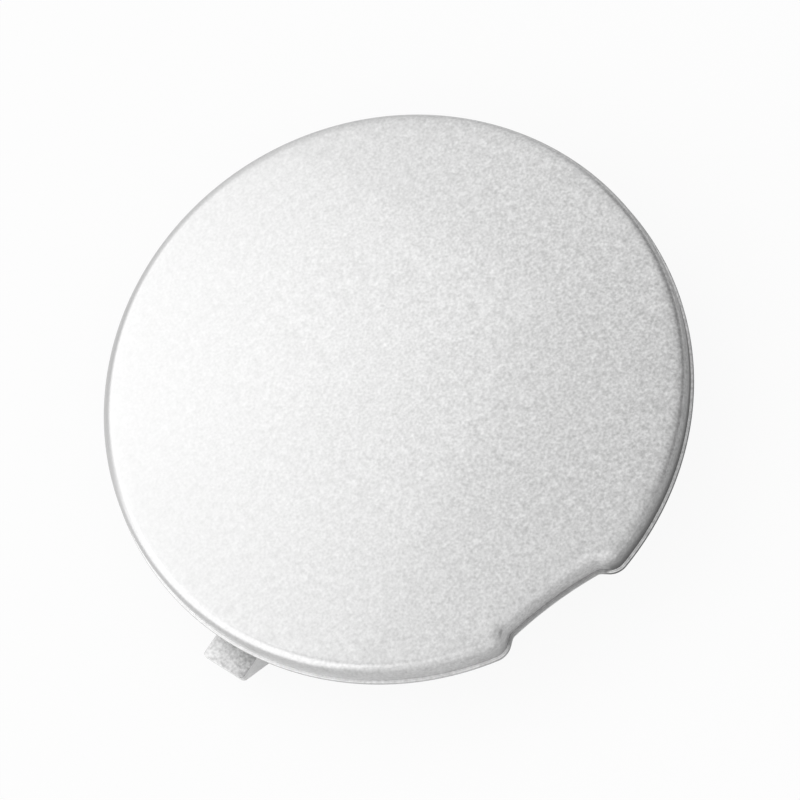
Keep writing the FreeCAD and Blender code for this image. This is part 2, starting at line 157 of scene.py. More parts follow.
@dataclass
class NotchedOutline:
    """The cover's round outline with its pry notch, moved outwards by `grow`.

    Every outline has the same number of stations, in the same order, so that one ring of a mesh
    can be drawn out to the next.
    """

    grow: float = 0.0
    outer_round: float = SIZES.notch_outer_round
    inner_round: float = SIZES.notch_inner_round
    rim_steps: int = 264
    lobe_steps: int = 14
    side_steps: int = 3
    corner_steps: int = 10
    floor_steps: int = 20

    def _tangent_centre(self, foot: Vector, about: Vector, reach: float, way: int) -> Vector:
        """Finds a rounding's centre on a line along the notch's side.

        Args:
            foot: a point of that line.
            about: the centre from which the rounding's centre lies at `reach`.
            reach: that distance.
            way: 1 for the outer and -1 for the inner of the two places.

        Returns:
            The centre, in the seat plane.
        """
        start = foot - about
        half = start.dot(self.along)
        run = -half + way * math.sqrt(half**2 - start.length_squared + reach**2)
        return foot + self.along * run

    @property
    def along(self) -> Vector:
        """Direction of the notch's right side, pointing outwards."""
        lean = math.radians(SIZES.notch_side_angle)
        return Vector((math.sin(lean), -math.cos(lean)))

    def _arc(
        self, centre: Vector, start: Vector, end: Vector, steps: int, convex: bool
    ) -> list[Station]:
        """Stations along an arc, without its end.

        Args:
            centre: the arc's centre.
            start: its first point.
            end: its last point.
            steps: how many stations.
            convex: True where the material lies on the centre's side.

        Returns:
            The stations in order: anticlockwise on a convex arc, else clockwise.
        """
        first = math.atan2(start.y - centre.y, start.x - centre.x)
        last = math.atan2(end.y - centre.y, end.x - centre.x)
        sweep = (last - first) % math.tau if convex else -((first - last) % math.tau)
        radius = (start - centre).length
        stations = []
        for step in range(steps):
            angle = first + sweep * step / steps
            way = Vector((math.cos(angle), math.sin(angle)))
            stations.append(Station(centre + way * radius, way if convex else -way))
        return stations

    def _line(self, start: Vector, end: Vector, outward: Vector) -> list[Station]:
        """Stations along one straight side of the notch, without its end."""
        steps = self.side_steps
        return [Station(start.lerp(end, step / steps), outward) for step in range(steps)]

    def stations(self) -> list[Station]:
        """Follows the whole outline.

        Returns:
            Its stations, anticlockwise from the notch's right lobe.
        """
        rim = SIZES.face_radius + self.grow
        floor = SIZES.notch_floor_radius - self.grow
        scallop = Vector((0, -(SIZES.face_radius - SIZES.notch_depth + SIZES.notch_floor_radius)))
        lean = math.radians(SIZES.notch_side_angle)
        into_notch = Vector((-math.cos(lean), -math.sin(lean)))
        floor_rise = math.sqrt(SIZES.notch_floor_radius**2 - SIZES.notch_half_width**2)
        corner = Vector((SIZES.notch_half_width, scallop.y + floor_rise))
        foot = into_notch * (corner.dot(into_notch) + self.grow)
        outer, inner = self.outer_round, self.inner_round
        lobe = self._tangent_centre(foot - into_notch * outer, Vector((0, 0)), rim - outer, 1)
        bend = self._tangent_centre(foot + into_notch * inner, scallop, floor - inner, -1)
        on_rim = lobe.normalized() * rim
        side_out = lobe + into_notch * outer
        side_in = bend - into_notch * inner
        on_floor = scallop + (bend - scallop).normalized() * floor

        def flip(place: Vector) -> Vector:
            """The same place on the notch's left side."""
            return Vector((-place.x, place.y))

        return [
            *self._arc(Vector((0, 0)), on_rim, flip(on_rim), self.rim_steps, True),
            *self._arc(flip(lobe), flip(on_rim), flip(side_out), self.lobe_steps, True),
            *self._line(flip(side_out), flip(side_in), flip(into_notch)),
            *self._arc(flip(bend), flip(side_in), flip(on_floor), self.corner_steps, False),
            *self._arc(scallop, flip(on_floor), on_floor, self.floor_steps, False),
            *self._arc(bend, on_floor, side_in, self.corner_steps, False),
            *self._line(side_in, side_out, into_notch),
            *self._arc(lobe, side_out, on_rim, self.lobe_steps, True),
        ]


# ---- Mesh helpers


def quarter(steps: int) -> list[Pair]:
    """Sine and cosine of the angles from 0 to 90 degrees, in equal steps."""
    turns = [math.radians(90 * step / steps) for step in range(steps + 1)]
    return [(math.sin(turn), math.cos(turn)) for turn in turns]


class RingSkin:
    """A skin drawn out ring by ring from one closed loop of vertices."""

    def __init__(self, places: Sequence[Vector]) -> None:
        """Starts from a circle whose vertices are set on the given places.

        Args:
            places: the first ring, in order.
        """
        self.bm = bmesh.new()
        made = bmesh.ops.create_circle(self.bm, segments=len(places), radius=1.0)
        self.first: list[BMVert] = list(made["verts"])
        self.ring = self.first
        self._place(places)

    def _place(self, places: Iterable[Vector]) -> None:
        """Sets the current ring's vertices on the given places."""
        for vert, place in zip(self.ring, places, strict=True):
            vert.co = place

    def restart(self) -> None:
        """Goes back to the first ring, to draw out the other side."""
        self.ring = self.first

    def draw(self, places: Sequence[Vector]) -> None:
        """Extrudes the current ring.

        Args:
            places: where the new ring's vertices come to lie, in order.
        """
        following = [*self.ring[1:], self.ring[0]]
        edges = [self.bm.edges.get(pair) for pair in zip(self.ring, following, strict=True)]
        made = bmesh.ops.extrude_edge_only(self.bm, edges=edges)["geom"]
        fresh = {item for item in made if isinstance(item, BMVert)}
        self.ring = [
            next(other for edge in vert.link_edges if (other := edge.other_vert(vert)) in fresh)
            for vert in self.ring
        ]
        self._place(places)

    def close(self, place: Vector) -> None:
        """Draws the current ring together into one pole."""
        self.draw([place] * len(self.ring))
        bmesh.ops.pointmerge(self.bm, verts=self.ring, merge_co=place)


def spun(profile: Sequence[Pair], azimuth: float, sweep: float, steps: int) -> BMesh:
    """Turns a flat profile about the cover's axis.

    Args:
        profile: corners as (radius, height).
        azimuth: the middle of the sweep, in degrees.
        sweep: the angle turned through, in degrees; 360 closes the ring.
        steps: how many steps the sweep takes.

    Returns:
        A closed mesh whose normals point outwards.
    """
    bm = bmesh.new()
    corners = [bm.verts.new((radius, 0.0, level)) for radius, level in profile]
    face = bm.faces.new(corners)
    full = sweep >= 360.0
    start = math.radians(azimuth - (0.0 if full else sweep / 2))
    bmesh.ops.rotate(bm, verts=corners, matrix=Matrix.Rotation(start, 3, "Z"))
    geometry = [face, *face.edges, *face.verts]
    turn = {"axis": (0, 0, 1), "cent": (0, 0, 0), "angle": math.radians(sweep), "steps": steps}
    if full:
        edges = list(face.edges)
        bmesh.ops.delete(bm, geom=[face], context="FACES_ONLY")
        bmesh.ops.spin(bm, geom=[*edges, *corners], use_merge=True, **turn)
        bmesh.ops.remove_doubles(bm, verts=bm.verts, dist=MERGE_WITHIN)
    else:
        kept = bmesh.ops.duplicate(bm, geom=geometry)["geom"]
        cap = [item for item in kept if isinstance(item, BMFace)]
        bmesh.ops.spin(bm, geom=geometry, **turn)
        bmesh.ops.reverse_faces(bm, faces=cap)
        bmesh.ops.remove_doubles(bm, verts=bm.verts, dist=MERGE_WITHIN)
    bmesh.ops.recalc_face_normals(bm, faces=bm.faces)
    return bm


def drawn(profile: Sequence[Pair], width: float) -> BMesh:
    """Extrudes a flat profile to both sides of the plane y = 0.

    Args:
        profile: corners as (x, z).
        width: how far the two ends are apart.

    Returns:
        A closed mesh whose normals point outwards.
    """
    bm = bmesh.new()
    face = bm.faces.new([bm.verts.new((x, -width / 2, z)) for x, z in profile])
    made = bmesh.ops.extrude_face_region(bm, geom=[face], use_keep_orig=True)["geom"]
    fresh = [item for item in made if isinstance(item, BMVert)]
    bmesh.ops.translate(bm, verts=fresh, vec=(0, width, 0))
    bmesh.ops.recalc_face_normals(bm, faces=bm.faces)
    return bm


def rounded(bm: BMesh, edges: Iterable[BMEdge], width: float, segments: int = 3) -> None:
    """Rounds some edges of a mesh.

    Args:
        bm: the mesh.
        edges: the edges to round.
        width: the rounding's radius.
        segments: how many faces make each rounding.
    """
    bmesh.ops.bevel(
        bm,
        geom=list(edges),
        offset=width,
        offset_type="OFFSET",
        segments=segments,
        profile=0.5,
        affect="EDGES",
        clamp_overlap=True,
        material=-1,
    )


def soften(bm: BMesh, width: float) -> None:
    """Rounds every sharp edge of a mesh."""
    limit = math.radians(SOFTEN_ABOVE)
    rounded(bm, [e for e in bm.edges if e.is_manifold and e.calc_face_angle(0.0) > limit], width)


class Craft(Enum):
    """What a second mesh does to the first."""

    CUT = "DIFFERENCE"
    WELD = "UNION"


def worked(whole: BMesh, tool: BMesh, craft: Craft = Craft.CUT) -> BMesh:
    """Cuts one mesh out of another, or welds the two into one skin.

    Args:
        whole: the first mesh, which is freed.
        tool: the second mesh, which is freed.
        craft: whether the tool is cut out or welded on.

    Returns:
        The result, as a new mesh.
    """
    holders = [placed("whole", whole), placed("tool", tool)]
    step = holders[0].modifiers.new("step", "BOOLEAN")
    step.operation = craft.value
    step.solver = "EXACT"
    step.object = holders[1]
    shaped = holders[0].evaluated_get(bpy.context.evaluated_depsgraph_get())
    result = bmesh.new()
    result.from_mesh(shaped.to_mesh())
    shaped.to_mesh_clear()
    for holder in holders:
        mesh = holder.data
        bpy.data.objects.remove(holder)
        bpy.data.meshes.remove(mesh)
    return result


def turned(bm: BMesh, azimuth: float) -> BMesh:
    """Turns a mesh about the cover's axis.

    Args:
        bm: the mesh.
        azimuth: the angle, in degrees.

    Returns:
        The same mesh.
    """
    matrix = Matrix.Rotation(math.radians(azimuth), 3, "Z")
    bmesh.ops.rotate(bm, verts=bm.verts, matrix=matrix)
    return bm


def joined(meshes: Iterable[BMesh]) -> BMesh:
    """Puts several meshes into one.

    Args:
        meshes: the meshes, which are freed.

    Returns:
        One mesh that holds them all.
    """
    whole = bmesh.new()
    for bm in meshes:
        part = bpy.data.meshes.new("part")
        bm.to_mesh(part)
        bm.free()
        whole.from_mesh(part)
        bpy.data.meshes.remove(part)
    return whole


def placed(name: str, bm: BMesh) -> Object:
    """Makes a scene object of a mesh.

    Args:
        name: the object's name.
        bm: its mesh, which is freed.

    Returns:
        The object, at the origin.
    """
    mesh = bpy.data.meshes.new(name)
    bm.to_mesh(mesh)
    bm.free()
    thing = bpy.data.objects.new(name, mesh)
    bpy.context.scene.collection.objects.link(thing)
    return thing


def finished_piece(name: str, bm: BMesh, material: Material) -> Object:
    """Makes a piece of the cover of a mesh that was drawn in millimetres.

    Args:
        name: the piece's name.
        bm: its mesh, which is freed.
        material: its only material.

    Returns:
        The piece, at the origin, riding on the cover's only body.
    """
    bmesh.ops.scale(bm, vec=(MM, MM, MM), verts=bm.verts)
    limit = math.radians(CRISP_ABOVE)
    for face in bm.faces:
        face.smooth = True
    for edge in bm.edges:
        edge.smooth = not edge.is_manifold or edge.calc_face_angle(0.0) < limit
    piece = placed(name, bm)
    piece.data.materials.append(material)
    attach(piece, "root")
    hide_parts(CAD_NODE)
    return piece


# ---- Shader maths


Operand = Union["Socket", float]


class Socket:
    """An output socket whose operators add Math nodes."""

    def __init__(self, web: "Web", output: NodeSocket) -> None:
        """Wraps one output of a node in a web."""
        self.web = web
        self.output = output

    def _math(self, operation: str, *values: Operand) -> "Socket":
        """Adds one Math node."""
        return self.web.node("ShaderNodeMath", {"operation": operation}, dict(enumerate(values)))

    def __add__(self, other: Operand) -> "Socket":
        """self + other."""
        return self._math("ADD", self, other)

    __radd__ = __add__

    def __sub__(self, other: Operand) -> "Socket":
        """self - other."""
        return self._math("SUBTRACT", self, other)

    def __rsub__(self, other: Operand) -> "Socket":
        """other - self."""
        return self._math("SUBTRACT", other, self)

    def __mul__(self, other: Operand) -> "Socket":
        """self * other."""
        return self._math("MULTIPLY", self, other)

    __rmul__ = __mul__

    def larger(self, other: Operand) -> "Socket":
        """The larger of two values."""
        return self._math("MAXIMUM", self, other)

    def ramp(self, low: float, high: float) -> "Socket":
        """Turns a range of values into a smooth step.

        Args:
            low: the value that becomes 0, which may be the higher one.
            high: the value that becomes 1.

        Returns:
            The step, which stays 0 and 1 outside that range.
        """
        settings = {"interpolation_type": "SMOOTHSTEP"}
        values = {"Value": self, "From Min": low, "From Max": high, "To Min": 0.0, "To Max": 1.0}
        return self.web.node("ShaderNodeMapRange", settings, values, output="Result")


class Web:
    """A material's or the world's node tree."""

    def __init__(self, tree: NodeTree) -> None:
        """Empties the tree."""
        self.tree = tree
        tree.nodes.clear()

    def node(
        self,
        kind: str,
        settings: dict[str, Any] | None = None,
        values: dict[str | int, Any] | None = None,
        output: str | int = 0,
    ) -> Socket:
        """Adds a node.

        Args:
            kind: the node's type.
            settings: its properties, which are set first.
            values: numbers, colours or sockets for its inputs, by name or index.
            output: which output is wanted.

        Returns:
            That output.
        """
        made = self.tree.nodes.new(kind)
        for key, setting in (settings or {}).items():
            setattr(made, key, setting)
        for key, value in (values or {}).items():
            if isinstance(value, Socket):
                self.tree.links.new(value.output, made.inputs[key])
            else:
                made.inputs[key].default_value = value
        return Socket(self, made.outputs[output] if made.outputs else None)

    def noise(self, where: Socket, scale: float, detail: float) -> Socket:
        """A noise between 0 and 1, with `scale` waves to the metre."""
        values = {"Vector": where, "Scale": scale, "Detail": detail}
        return self.node("ShaderNodeTexNoise", {}, values)

    def vector(self, operation: str, *values: Any, output: str = "Vector") -> Socket:
        """A Vector Math node, with output "Value" where it gives a number."""
        settings = {"operation": operation}
        return self.node("ShaderNodeVectorMath", settings, dict(enumerate(values)), output)

    def rise(self, vector: Socket) -> Socket:
        """The upward part of a vector."""
        return self.node("ShaderNodeSeparateXYZ", {}, {"Vector": vector}, output="Z")

    def facing(self) -> Socket:
        """The way that the surface faces."""
        return self.node("ShaderNodeNewGeometry", output="Normal")

    def mix_colours(self, share: Operand, first: Any, second: Any) -> Socket:
        """Mixes two colours.

        Args:
            share: how much of the second colour there is.
            first: the colour where share is 0.
            second: the colour where share is 1.

        Returns:
            The mixed colour.
        """
        settings = {"data_type": "RGBA", "blend_type": "MIX"}
        values = {0: share, 6: first, 7: second}  # by index: each kind of data has its own A and B
        return self.node("ShaderNodeMix", settings, values, output=2)


def grey(level: float) -> tuple[float, float, float, float]:
    """A neutral colour."""
    return (level, level, level, 1.0)


# ---- Finishes


class Cover(Enum):
    """How much of a piece the spray gun reached."""

    FACE = "face"
    HOOK = "hook"
    BACK = "back"


@dataclass(frozen=True)
class SilverPaint:
    """Silver basecoat with fine metal flakes under clear lacquer, sprayed on moulded plastic.

    The paint thins out into specks where the spray ran past an edge, and the back shows the
    bare moulding. Some light and shade are painted into the paint's share and colour: painted
    shade at the rim's foot and on the hook's top towards the side away from the lamps, and in a
    band at the notch's lip; a painted glint in the flakes towards that side; and painted light on
    the hook's flanks. Lengths are in millimetres. A pair is the range over which something
    begins and is complete.
    """

    tone: float = 0.568
    metal: float = 0.82
    roughness: float = 0.34
    lacquer: float = 0.65
    lacquer_roughness: float = 0.06

    flake_size: float = 0.30
    flake_contrast: float = 0.76
    # painted glint: the flakes' contrast grows towards the side away from the lamps
    painted_glint_drift: float = 0.85
    fine_share: float = 0.65
    broad_scale: float = 0.4
    fine_detail: float = 1.0
    broad_detail: float = 2.0
    flake_relief: float = 0.35

    bare_tone: float = 0.11
    bare_spread: float = 0.1
    bare_roughness: float = 0.48
    bare_relief: float = 0.5
    grain_scale: float = 2600.0
    grain_detail: float = 3.0
    relief_strength: float = 0.12
    relief_depth: float = 0.02

    # points at the side away from the lamps, towards which shade and glint are painted in
    shade_way: Pair = (0.81, -0.56)
    speck_scale: float = 3800.0
    speck_detail: float = 3.0
    speck_spread: float = 1.6
    outside_up: Pair = (0.1, 0.4)
    outside_out: Pair = (-0.05, 0.25)
    under_edge: Pair = (-0.75, -0.35)
    under_ragged: float = 0.35
    rim_radius: Pair = (28.6, 29.4)
    # painted shade: on the side away from the lamps the rim's wall gets less paint towards its
    # foot
    painted_shade_side: Pair = (0.15, 0.65)
    shaded_foot_height: Pair = (0.9, 3.9)
    foot_ragged: float = 0.3
    lip_up: Pair = (0.3, 0.7)
    lip_height: Pair = (0.45, 0.25)
    # painted shade: a darker band of thinner paint on the notch's lip top and the foot of its wall
    notch_shade_paint: float = 0.5
    notch_shade_height: Pair = (0.55, 0.85)
    notch_ragged: float = 0.1

    hook_share: float = -0.16
    # painted shade: the hook's top gets less paint towards the side away from the lamps
    hook_shade_fade: float = 0.05
    hook_ragged: float = 0.5
    hook_under: Pair = (-0.8, -0.4)
    # painted light: the hook's upright flanks get full, lighter and less metallic paint, so that
    # they read as lit
    painted_flank_up: Pair = (0.95, 0.6)
    painted_flank_tone: float = 0.8
    painted_flank_metal: float = 0.2

    def _flakes(self, web: Web, where: Socket) -> Socket:
        """Draws the metal flakes.

        Args:
            web: the material's nodes.
            where: the place on the piece.

        Returns:
            Their brightness, between 0 and 1.
        """
        scale = 1 / (self.flake_size * MM)
        fine = web.noise(where, scale, self.fine_detail)
        broad = web.noise(where, scale * self.broad_scale, self.broad_detail)
        return fine * self.fine_share + broad * (1 - self.fine_share)

    def _toward_shade(self, web: Web, where: Socket) -> Socket:
        """Distance in millimetres towards the side away from the lamps, 0 in the middle; it steers
        the painted shade and the painted flake glint.
        """
        return web.vector("DOT_PRODUCT", where, (*self.shade_way, 0.0), output="Value") * (1 / MM)

    def _ragged(self, web: Web, where: Socket) -> Socket:
        """Uneven by about half a unit to both sides, for an edge that breaks up into specks."""
        specks = web.noise(where, self.speck_scale, self.speck_detail)
        return (specks - 0.5) * self.speck_spread

    def _hook_reach(self, web: Web, where: Socket) -> Socket:
        """How thickly the paint lies on the hook: full on its sides, thinner on top, and thinner
        still towards the side away from the lamps, as painted shade.

        Args:
            web: the material's nodes.
            where: the place on the hook.

        Returns:
            The share of paint: 1 is full, and 0, as on the leg, is bare plastic.
        """
        ragged = self._ragged(web, where) * self.hook_ragged
        up = web.rise(web.facing())
        radius = web.vector("LENGTH", web.vector("MULTIPLY", where, (1, 1, 0)), output="Value")
        # painted shade across the hook's top, towards the side away from the lamps
        shade_fade = self._toward_shade(web, where) * self.hook_shade_fade
        top = (ragged + self.hook_share - shade_fade).ramp(0.0, 1.0)
        coat = top.larger(up.ramp(*self.painted_flank_up))
        past_rim = (radius * (1 / MM) + ragged).ramp(*self.rim_radius)
        return (up + ragged).ramp(*self.hook_under) * past_rim * coat

    def _face_reach(self, web: Web, where: Socket) -> Socket:
        """How thickly the paint lies on the face and the rim.

        On the side away from the lamps the rim's wall gets less paint towards its foot, as painted
        shade, and the notch gets a painted dark band at its lip and the foot of its wall.

        Args:
            web: the material's nodes.
            where: the place on the face shell.

        Returns:
            The share of paint: 1 is full, and 0, as in the recess, is bare plastic.
        """
        ragged = self._ragged(web, where)
        height = web.rise(where) * (1 / MM)
        facing = web.facing()
        up = web.rise(facing)
        flat = web.vector("MULTIPLY", where, (1, 1, 0))
        radius = web.vector("LENGTH", flat, output="Value") * (1 / MM)
        away = web.vector("NORMALIZE", flat)
        outward = web.vector("DOT_PRODUCT", facing, away, output="Value")
        outside = up.ramp(*self.outside_up).larger(outward.ramp(*self.outside_out))
        rim = radius.ramp(*self.rim_radius)
        # painted shade: the rim's foot darkens on the side away from the lamps
        side = (self._toward_shade(web, where) * (1 / SIZES.face_radius)).ramp(*self.painted_shade_side)
        foot = (height + ragged * self.foot_ragged).ramp(*self.shaded_foot_height) * side + (1 - side)
        # painted shade: a darker band at the notch's lip top and wall foot
        floor = (height + ragged * self.notch_ragged).ramp(*self.notch_shade_height)
        notch = self.notch_shade_paint + (1 - self.notch_shade_paint) * floor
        wall = foot * rim + notch.larger(height.ramp(*self.lip_height)) * (1 - rim)
        over_edge = (up + ragged * self.under_ragged).ramp(*self.under_edge)
        return over_edge * outside * wall.larger(up.ramp(*self.lip_up) * rim)

    def _bare(self, web: Web, grain: Socket) -> Socket:
        """Colour of the bare moulding."""
        low, high = 1 - self.bare_spread, 1 + self.bare_spread
        return web.mix_colours(grain, grey(self.bare_tone * low), grey(self.bare_tone * high))

    def _coat(
        self, web: Web, where: Socket, cover: Cover, grain: Socket
    ) -> tuple[dict[str | int, Any], Socket]:
        """The values of a piece that the spray reached.

        Args:
            web: the material's nodes.
            where: the place on the piece.
            cover: which piece it is.
            grain: the bare moulding's grain.

        Returns:
            The shader's values, and the height of the surface's relief.
        """
        flakes = self._flakes(web, where)
        # painted glint: the flakes' contrast grows towards the side away from the lamps
        painted_glint = self._toward_shade(web, where) * (self.painted_glint_drift / SIZES.face_radius)
        silver = ((flakes - 0.5) * ((painted_glint + 1) * self.flake_contrast) + 1) * self.tone
        metal: Operand = self.metal
        if cover is Cover.HOOK:
            paint = self._hook_reach(web, where)
            # painted light: the hook's flanks are made lighter and less metallic
            painted_flank = web.rise(web.facing()).ramp(*self.painted_flank_up)
            silver = silver * (painted_flank * (self.painted_flank_tone / self.tone - 1) + 1)
            metal = painted_flank * (self.painted_flank_metal - self.metal) + self.metal
        else:
            paint = self._face_reach(web, where)
        values: dict[str | int, Any] = {
            "Base Color": web.mix_colours(paint, self._bare(web, grain), silver),
            "Metallic": paint * metal,
            "Roughness": self.bare_roughness + paint * (self.roughness - self.bare_roughness),
            "Coat Weight": paint * self.lacquer,
            "Coat Roughness": self.lacquer_roughness,
        }
        relief = grain * self.bare_relief * (1 - paint) + flakes * paint * self.flake_relief
        return values, relief

    def material(self, name: str, cover: Cover) -> Material:
        """Builds the finish.

        Args:
            name: the material's name.
            cover: which piece it dresses.

        Returns:
            The material.
        """
        made = bpy.data.materials.new(name)
        made.use_nodes = True
        web = Web(made.node_tree)
        where = web.node("ShaderNodeTexCoord", output="Object")
        grain = web.noise(where, self.grain_scale, self.grain_detail)
        if cover is Cover.BACK:
            values = {"Base Color": self._bare(web, grain), "Roughness": self.bare_roughness}
            relief = grain * self.bare_relief
        else:
            values, relief = self._coat(web, where, cover, grain)
        bump = {
            "Height": relief,
            "Strength": self.relief_strength,
            "Distance": self.relief_depth * MM,
        }
        values["Normal"] = web.node("ShaderNodeBump", {}, bump)
        shader = web.node("ShaderNodeBsdfPrincipled", {}, values)
        web.node("ShaderNodeOutputMaterial", {}, {"Surface": shader})
        return made


# ---- The cover's parts


@dataclass
class FaceShell:
    """The domed face, its rounded edge, the stepped rim, the seat and the recess behind it."""

    finish: SilverPaint
    seat_round: float = 0.08
    seat_middle: float = 0.3
    lip_round: float = 0.15
    foot_round: float = 0.07
    recess_round: float = 0.25
    edge_steps: int = 12
    wall_ring: float = 1.2
    blend_shares: Sequence[float] = (0.25, 0.5, 0.75)
    dome_rings: Sequence[float] = (24.4, 22.8, *range(21, 2, -2), 1.2)
    ceiling_rings: Sequence[float] = (22.0, 18.0, 14.0, 10.0, 6.0, 2.5)
    mark_circle: float = 14.5
    mark_radius: float = 2.2
    mark_deep: float = 0.2
    mark_steps: int = 48
    pin_length: float = 1.0

    def _rim_profile(self) -> list[Pair]:
        """Side view of the lip and the foot of the wall.

        Returns:
            Its points from the seat up, as (distance out of the face's outline, height).
        """
        step, thick = SIZES.lip_step, SIZES.lip_thick
        seat, lip, foot = self.seat_round, self.lip_round, self.foot_round
        return [
            *((step - seat * (1 - sin), seat * (1 - cos)) for sin, cos in quarter(3)),
            *((step - lip * (1 - cos), thick - lip * (1 - sin)) for sin, cos in quarter(4)),
            *((foot * (1 - sin), thick + foot * (1 - cos)) for sin, cos in quarter(2)),
            (0.0, self.wall_ring),
        ]

    def _draw_edge(self, skin: RingSkin, stations: list[Station]) -> list[Vector]:
        """Rounds the wall over into the dome, as a ball rolled along the edge would.

        Args:
            skin: the skin, drawn up to the wall.
            stations: the face's outline.

        Returns:
            The places where the ball touches the dome.
        """
        ball, sphere = SIZES.edge_round, SIZES.dome_radius
        low = Vector((0, 0, SIZES.dome_centre))
        centres, touching = [], []
        for station in stations:
            flat = station.point - station.outward * ball
            rise = math.sqrt((sphere - ball) ** 2 - flat.length_squared)
            centre = Vector((flat.x, flat.y, SIZES.dome_centre + rise))
            centres.append(centre)
            touching.append((centre - low).normalized())
        for step in range(self.edge_steps + 1):
            share = step / self.edge_steps
            places = []
            for station, centre, touch in zip(stations, centres, touching, strict=True):
                side = Vector((station.outward.x, station.outward.y, 0.0))
                places.append(centre + side.slerp(touch, share) * ball)
            skin.draw(places)
        return [centre + touch * ball for centre, touch in zip(centres, touching, strict=True)]

    def _draw_disc(
        self,
        skin: RingSkin,
        start: list[Vector],
        rings: Sequence[float],
        level: Callable[[float], float],
    ) -> None:
        """Closes a ring with rounder and smaller ones, down to a pole.

        Args:
            skin: the skin to close.
            start: the places of its last ring.
            rings: the radii of the round rings, from the largest.
            level: the height at a radius.
        """
        reach = [Vector((place.x, place.y)).length for place in start]
        ways = [Vector((place.x, place.y)).normalized() for place in start]
        for share in self.blend_shares:
            radii = [r + (rings[0] - r) * share for r in reach]
            skin.draw([Vector((*(w * r), level(r))) for w, r in zip(ways, radii, strict=True)])
        for radius in rings:
            skin.draw([Vector((*(way * radius), level(radius))) for way in ways])
        skin.close(Vector((0, 0, level(0.0))))

    def _ceiling(self, radius: float) -> float:
        """Height of the recess's ceiling at a radius."""
        fall = SIZES.ceiling_top - SIZES.ceiling_level
        return SIZES.ceiling_top - fall * min(1.0, radius / SIZES.ceiling_radius)

    def _ejector_pins(self) -> BMesh:
        """The ends of the four pins that push the moulding out, for their marks in the ceiling.

        Returns:
            Four short cylinders in one mesh.
        """
        pins = bmesh.new()
        level = self._ceiling(self.mark_circle) + self.mark_deep - self.pin_length / 2
        for quarter in range(4):
            turn = math.radians(SIZES.hook_azimuth + 90.0 * quarter)
            way = Vector((math.cos(turn), math.sin(turn)))
            place = Vector((*(way * self.mark_circle), level))
            bmesh.ops.create_cone(
                pins,
                cap_ends=True,
                cap_tris=False,
                segments=self.mark_steps,
                radius1=self.mark_radius,
                radius2=self.mark_radius,
                depth=self.pin_length,
                matrix=Matrix.Translation(place),
            )
        return pins

    def build(self) -> Object:
        """Draws the outside up to the middle of the face, then the back to its middle.

        Returns:
            The painted shell.
        """
        outline = NotchedOutline().stations()
        profile = self._rim_profile()
        skin = RingSkin([station.moved(*profile[0]) for station in outline])
        for out, height in profile[1:]:
            skin.draw([station.moved(out, height) for station in outline])
        touched = self._draw_edge(skin, outline)
        self._draw_disc(skin, touched, self.dome_rings, SIZES.dome_level)
        skin.restart()
        corner = SIZES.recess_corner
        recess = NotchedOutline(-SIZES.rim_wall, corner, corner).stations()
        small, large, top = self.seat_round, self.recess_round, SIZES.ceiling_level
        middle = small * self.seat_middle
        for out, height in ((small, 0.0), (middle, middle), (0.0, small)):
            skin.draw([station.moved(out, height) for station in recess])
        for sin, cos in quarter(3):
            out, height = -large * (1 - cos), top - large * (1 - sin)
            skin.draw([station.moved(out, height) for station in recess])
        inner = [station.moved(-large, top) for station in recess]
        self._draw_disc(skin, inner, (SIZES.ceiling_radius, *self.ceiling_rings), self._ceiling)
        bmesh.ops.recalc_face_normals(skin.bm, faces=skin.bm.faces)
        marked = worked(skin.bm, self._ejector_pins())
        paint = self.finish.material("silver_paint_face", Cover.FACE)
        return finished_piece("face_shell", marked, paint)


@dataclass
class BackCollar:
    """The ring that drops into the bumper's hole, in three lengths between the snap arms.

    Each span is the middle of a length, turned on from the hook, and the angle from the middle of
    one slot to that of the next, both in degrees.
    """

    finish: SilverPaint
    depth: float = 5.0
    lead: float = 0.6
    slot_half_angle: float = 12.51
    spans: Sequence[Pair] = ((0.0, 180.0), (135.0, 90.0), (225.0, 90.0))
    step_angle: float = 2.0
    edge: float = 0.12

    def build(self) -> Object:
        """Spins the long length beside the hook and the two short ones.

        Returns:
            The collar.
        """
        outer, inner = SIZES.collar_radius, SIZES.collar_radius - SIZES.collar_wall
        profile = [
            (inner, -self.depth),
            (outer - self.lead, -self.depth),
            (outer, self.lead - self.depth),
            (outer, SIZES.root_level),
            (inner, SIZES.root_level),
        ]
        lengths = []
        for middle, span in self.spans:
            sweep = span - 2 * self.slot_half_angle
            steps = round(sweep / self.step_angle)
            bm = spun(profile, SIZES.hook_azimuth + middle, sweep, steps)
            soften(bm, self.edge)
            lengths.append(bm)
        plastic = self.finish.material("bare_plastic_collar", Cover.BACK)
        return finished_piece("back_collar", joined(lengths), plastic)


@dataclass
class SnapArms:
    """Three springy arms with barbs that catch under the bumper skin, turned on from the hook."""

    finish: SilverPaint
    width: float = 8.0
    thick: float = 1.5
    tip_thick: float = 0.7
    barb_out: float = 1.2
    barb_back: float = 0.9
    barb_land: float = 0.4
    steps: int = 10
    turns: Sequence[float] = (90.0, 180.0, 270.0)
    edge: float = 0.12

    def build(self) -> Object:
        """Spins one arm's profile at each of the three slots.

        Returns:
            The three arms in one piece.
        """
        outer, inner = SIZES.collar_radius, SIZES.collar_radius - self.thick
        nose = -SIZES.catch_depth - self.barb_back
        profile = [
            (inner, -SIZES.leg_depth),
            (inner + self.tip_thick, -SIZES.leg_depth),
            (outer + self.barb_out, nose - self.barb_land),
            (outer + self.barb_out, nose),
            (outer, -SIZES.catch_depth),
            (outer, SIZES.root_level),
            (inner, SIZES.root_level),
        ]
        sweep = math.degrees(2 * math.asin(self.width / 2 / outer))
        arms = []
        for turn in self.turns:
            bm = spun(profile, SIZES.hook_azimuth + turn, sweep, self.steps)
            soften(bm, self.edge)
            arms.append(bm)
        plastic = self.finish.material("bare_plastic_arms", Cover.BACK)
        return finished_piece("snap_arms", joined(arms), plastic)


